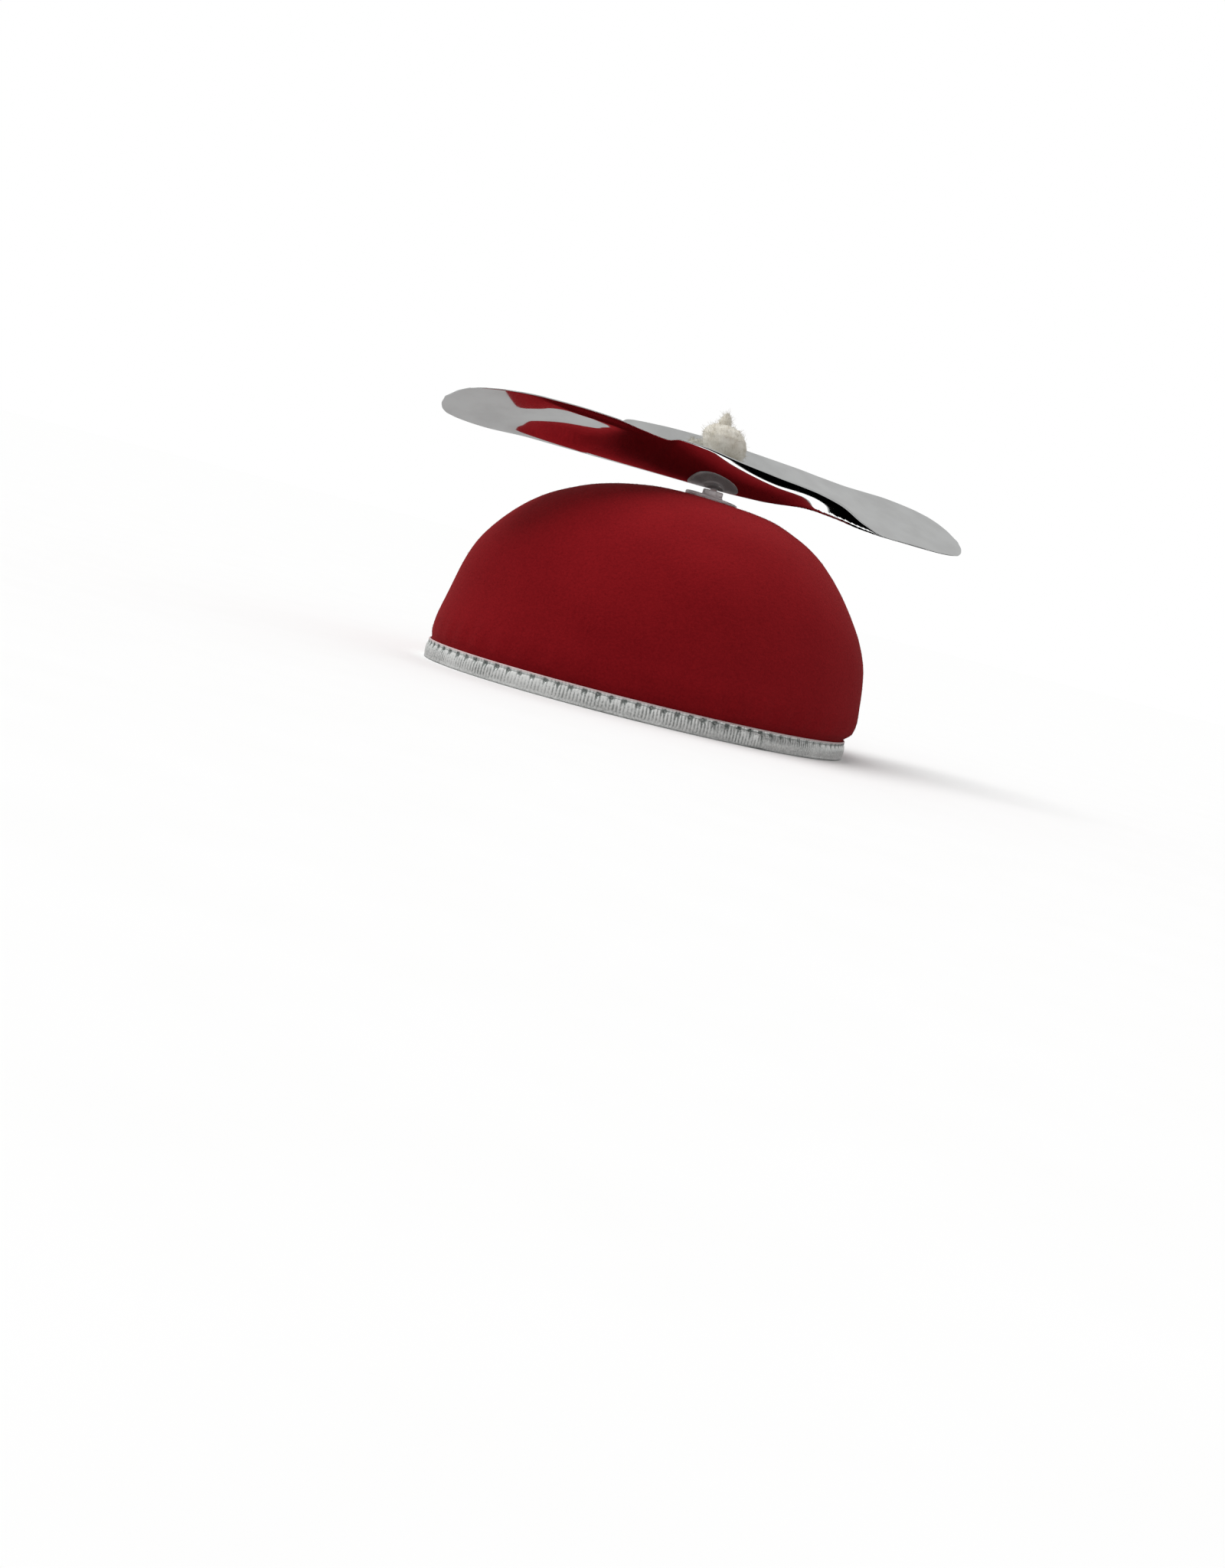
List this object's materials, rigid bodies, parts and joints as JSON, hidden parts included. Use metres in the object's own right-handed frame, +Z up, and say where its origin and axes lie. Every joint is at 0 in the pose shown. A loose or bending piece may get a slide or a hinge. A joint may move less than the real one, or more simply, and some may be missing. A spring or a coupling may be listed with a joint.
{
  "type": "propeller beanie",
  "caption": "Moulded red felt skullcap with a ribbed silver binding round its rim and a thin mirror-silver propeller that spins on a clear spindle under a white tuft.",
  "frame": {"origin": "under the propeller's pin, on the surface that the rim rests on", "axes": "+Z up through the crown, the wearer looks along -Y, the wearer's left is +X"},
  "size_m": [0.1628, 0.257, 0.1325],
  "materials": {
    "felt": "pressed red wool felt with a short matt nap",
    "tape": "silver metallic ribbed tape, sewn with a row of grey stitches",
    "clear_plastic": "milky clear plastic, slightly glossy",
    "mirror_sheet": "thin plastic sheet with a bright mirror-silver face on both sides",
    "white_yarn": "matt cream-white yarn, ragged"
  },
  "bodies": {
    "hat": {"cap_shell": "felt", "rim_binding": "tape", "binding_end": "tape", "spindle": "clear_plastic", "spindle_nut": "clear_plastic", "top_tuft": "white_yarn"},
    "propeller_body": {"propeller": "mirror_sheet"}
  },
  "joints": [
    {"name": "propeller_spin", "type": "hinge", "parent": "hat", "child": "propeller_body", "pos_m": [0.0002, 0, 0.0991], "axis": [0.0349, 0, 0.9994], "continuous": true}
  ]
}
